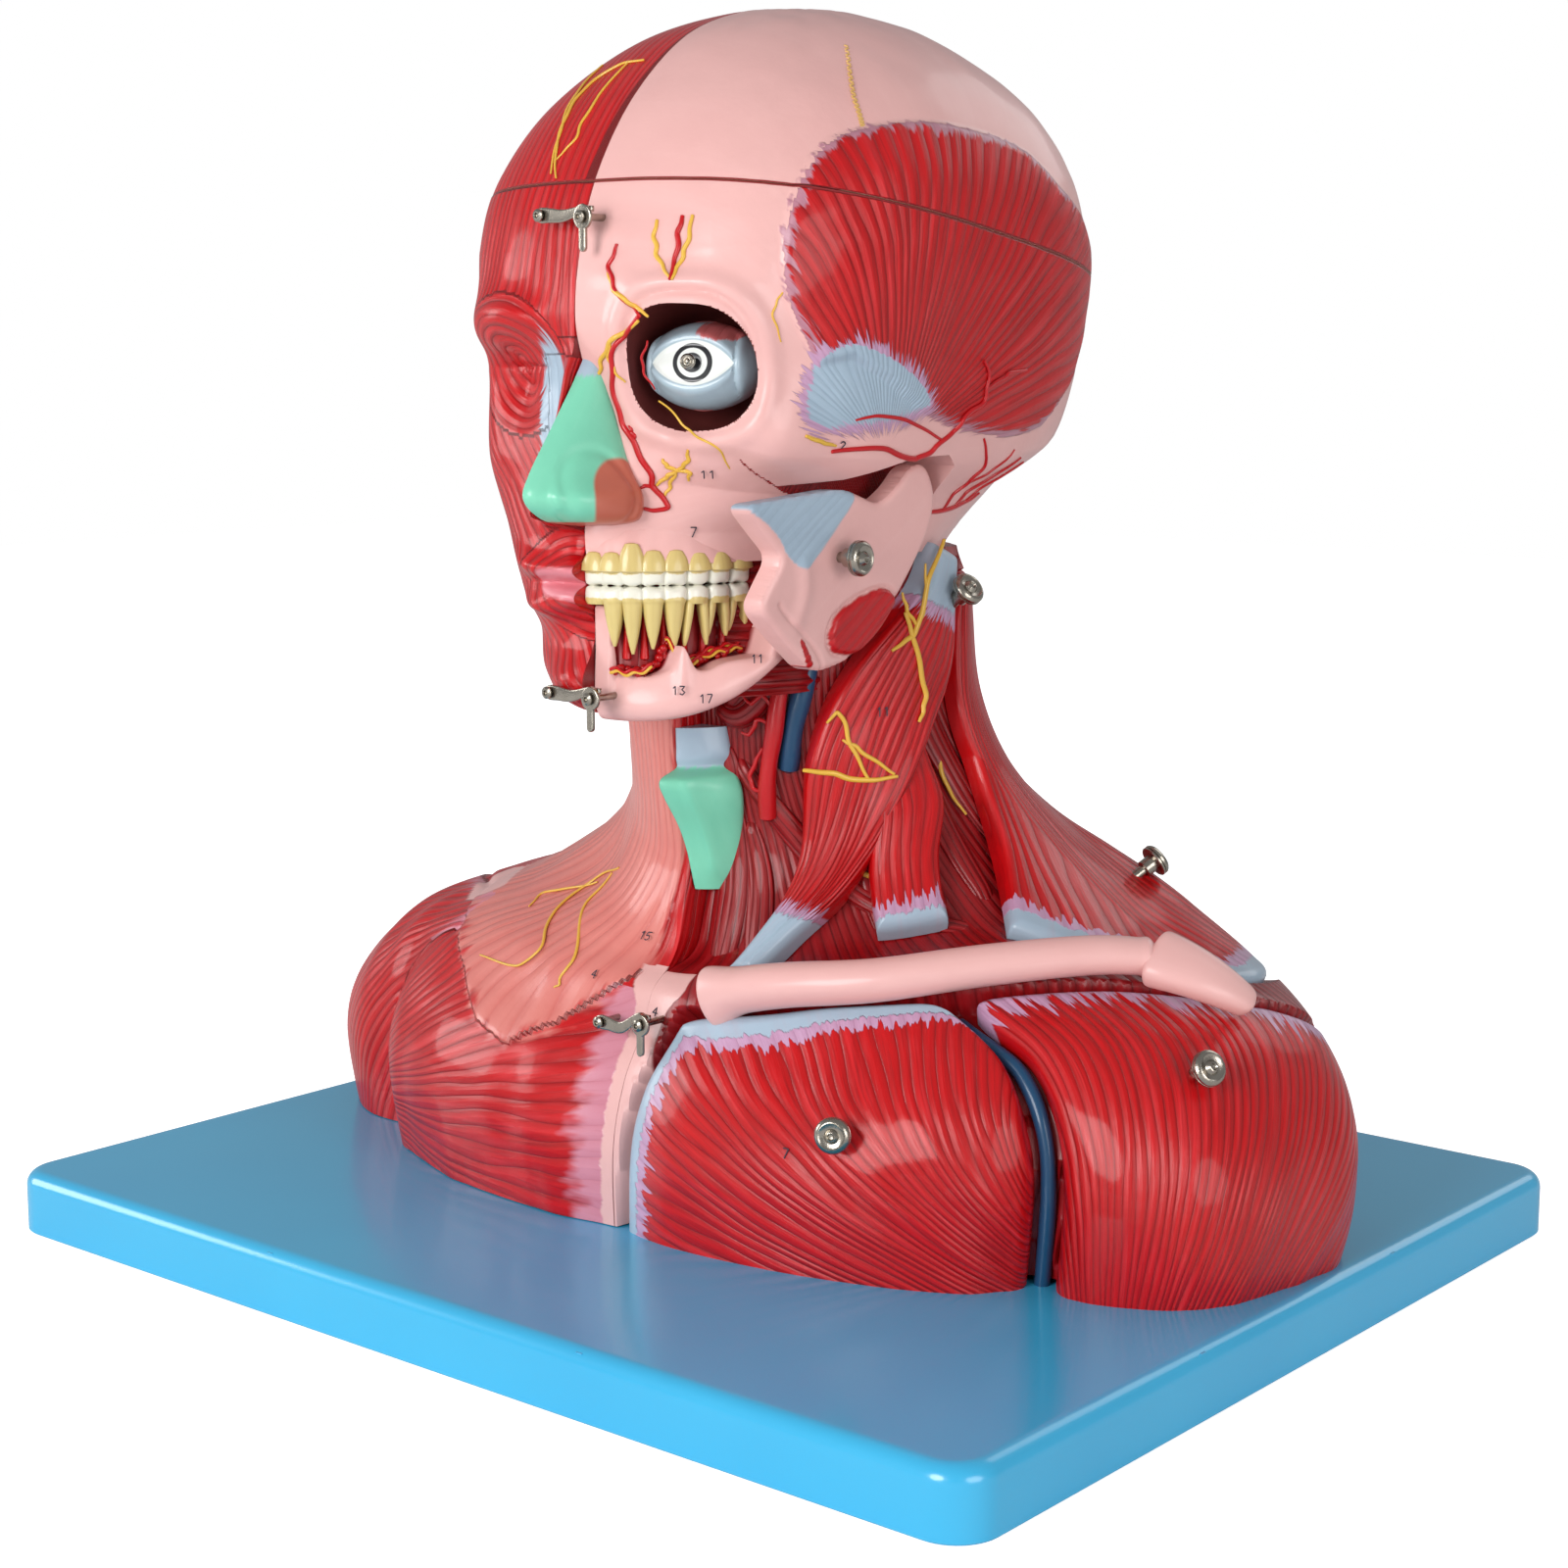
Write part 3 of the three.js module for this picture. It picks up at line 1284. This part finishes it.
plates.sternomastoid = plates.sternomastoid.subtract(grownSkull);
const vessels = {
  carotid_artery: [vessel(carotidRoute_shares, carotidRadius, 8, 6), arteryRed],
  jugular_vein: [vessel(jugularRoute_shares, jugularRadius, 6, 6), veinBlue],
  cephalic_vein: [vessel(cephalicRoute_shares, cephalicRadius, 9, 6), veinBlue],
};
const grownVessels = [
  vessel(carotidRoute_shares, carotidRadius + seatGap, 8, 6),
  vessel(jugularRoute_shares, jugularRadius + seatGap, 6, 6),
  vessel(cephalicRoute_shares, cephalicRadius + seatGap, 9, 6),
];

const collar = clavicle(seatGap).add(acromion(seatGap));
const bores = [];
for (const [name, holder] of Object.entries(holders)) {
  const { origin, direction } = pinPlace(holder);
  const bore = pinBore(origin, direction);
  bores.push(bore);
  const body = plates[name].subtract(bore).subtract(collar).subtract(grownVessels[2]);
  add(`${name}_muscle`, body, muscleRed);
  add(`${name}_pin`, solid(pin(origin, direction)), nickel);
}

// Deep half of the bust and neck, hollowed where the plates, collar bone and vessels lie.
const deepInset = (turn, station) =>
  deepNeckInset * THREE.MathUtils.smoothstep(station, 4.6, 5.8) * (Math.abs(turn) < 130 ? 1 : 0);
const dowels = dowelPlaces.map((place) => dowel(place, 0));
const grownDowels = dowelPlaces.map((place) => dowel(place, seatGap));
let deepBust = solid(bust.body(fullTurns, bustStations, deepInset)).add(mouthCore());
deepBust = deepBust.intersect(midCutter.left).subtract(above(skullBase - seatGap));
deepBust = deepBust.intersect(above(bustBase));
for (const room of rooms) deepBust = deepBust.subtract(room);
deepBust = deepBust.subtract(collar);

// Jaw, teeth and skull of the bone half.
const upperTeeth = toothRow(biteHeight + seatGap, 1, Array(toothCount).fill(0));
const lowerTeeth = toothRow(biteHeight, -1, lowerRoot_shares);
const jaw = jawBody().intersect(midCutter.left);
const ramusPlace = at(0, -0.43, 0.23);
ramusPlace.x = ramusLean(ramusPlace.y, ramusPlace.z) + ramusThickness + pinStandOff * 1.5;
const ramusBore = pinBore(ramusPlace, ramusDirection);
const ramus = ramusBody(0).subtract(ramusBore);
const leftNose = noseBody(0).intersect(midCutter.left).subtract(grownSkull);

const eyeCentre = orbitCentre.clone().addScaledVector(orbitAxis, -orbitDepth * 0.2);
const eyeFront = eyeCentre.clone().addScaledVector(orbitAxis, eyeHalfDepth);
const eyeBore = pinBore(eyeFront, orbitAxis, eyePin_share);
const eyeRadii = new THREE.Vector3(eyeHalfWidth, eyeHalfDepth, eyeHalfHeight);
const stemEnd = orbitCentre.clone().addScaledVector(orbitAxis, -orbitDepth * 0.948);
const eye = solid(roundedBall(eyeCentre, eyeRadii, 2, 16, 8, orbitTurn))
  .add(solid(rod(eyeStemRadius, stemEnd, eyeCentre, 12)))
  .subtract(eyeBore);
const orbitRadii = new THREE.Vector3(orbitHalfWidth, orbitDepth, orbitHalfHeight);
const orbit = solid(roundedBall(orbitCentre, orbitRadii, 2.6, 20, 8, orbitTurn));

let leftSkull = skullBody.add(upperJaw()).intersect(midCutter.left).intersect(above(skullBase));
leftSkull = leftSkull.subtract(aboveCapCut(-seatGap / 2)).subtract(cavity).subtract(orbit);
leftSkull = leftSkull.subtract(fossaRoom()).subtract(ramusBore).subtract(shaft());
leftSkull = leftSkull.subtract(grownDowels[grownDowels.length - 1]);

let rightHalf = solid(bust.body(fullTurns, bustStations)).add(faceBody).add(noseBody(0));
rightHalf = rightHalf.intersect(above(bustBase));
rightHalf = rightHalf.intersect(midCutter.right).subtract(aboveCapCut(-seatGap / 2));
const rightEar = earBody().subtract(grownFace);

for (const cut of [...bores, ramusBore, jawRoom(), larynx(seatGap), ...grownVessels, ...grownDowels])
  deepBust = deepBust.subtract(cut);
for (const [x, y] of screwPlaces) deepBust = deepBust.subtract(screwBore(x, y));
for (const grown of grownDowels) rightHalf = rightHalf.subtract(grown);
for (const { place, parts } of latches) {
  const clearing = latchClearing(place);
  rightHalf = rightHalf.subtract(clearing).subtract(parts.pivotRoom);
}
leftSkull = leftSkull.subtract(latches[0].parts.studRoom).subtract(latchClearing(latches[0].place));
const latchedJaw = jaw.subtract(latches[1].parts.studRoom);
deepBust = deepBust.subtract(latches[2].parts.studRoom);

add("left_bust", deepBust, deepRed);
add("left_skull", leftSkull, bonePink);
add("left_jaw", latchedJaw, bonePink);
add("jaw_branch", ramus, bonePink);
add("jaw_branch_pin", solid(pin(ramusPlace, ramusDirection)), nickel);
add("upper_teeth", upperTeeth, enamelWhite);
add("lower_teeth", lowerTeeth, enamelWhite);
add("eyeball", eye, tendonGrey);
add("eye_pin", solid(pin(eyeFront, orbitAxis, eyePin_share)), nickel);
add("nose_cartilage", leftNose, cartilageGreen);
add("larynx", larynx(0), cartilageGreen);
for (const [name, [body, material]] of Object.entries(vessels)) add(name, body, material);
add("clavicle", clavicle(0).subtract(acromion(seatGap)), bonePink);
add("acromion", acromion(0), bonePink);
add("right_half", rightHalf, muscleRed);
add("right_ear", rightEar, muscleRed);
dowelPlaces.forEach((place, i) => add(`dowel_${i + 1}`, dowel(place, 0), steel));

// Skull cap and the half brain beneath it.
const cap = skullBody.intersect(aboveCapCut(seatGap / 2)).subtract(cavity);
add("skull_cap", cap, bonePink);
const brainRadii = cavityRadii.clone().subScalar(brainClearance);
const brainBall = solid(roundedBall(cavityCentre, brainRadii, 2.3, 20, 10, uprightTurn));
const brain = brainBall.subtract(overEyes(brainClearance)).intersect(midCutter.left);
const hindbrainRoom = box(
  new THREE.Vector3(-boardLength, cavityCentre.y + cavityHalfLength * 0.2, 0),
  new THREE.Vector3(boardLength, boardLength, cavityCentre.z - cavityHalfHeight * 0.5),
);
const hindbrainRoomGrown = box(
  new THREE.Vector3(-boardLength, cavityCentre.y + cavityHalfLength * 0.2 - seatGap, 0),
  new THREE.Vector3(boardLength, boardLength, cavityCentre.z - cavityHalfHeight * 0.5 + seatGap),
);
add("brain_hemisphere", brain.subtract(solid(hindbrainRoomGrown)), brainTone);
add("hindbrain", brain.intersect(solid(hindbrainRoom)), brainTone);

for (const { place, parts } of latches) {
  add(`${place.name}_hook_arm`, parts.arm, nickel);
  add(`${place.name}_lever`, parts.lever, nickel);
  add(`${place.name}_pivot_screw`, parts.pivotScrew, nickel);
  add(`${place.name}_stud_screw`, parts.studScrew, nickel);
}

export default group;
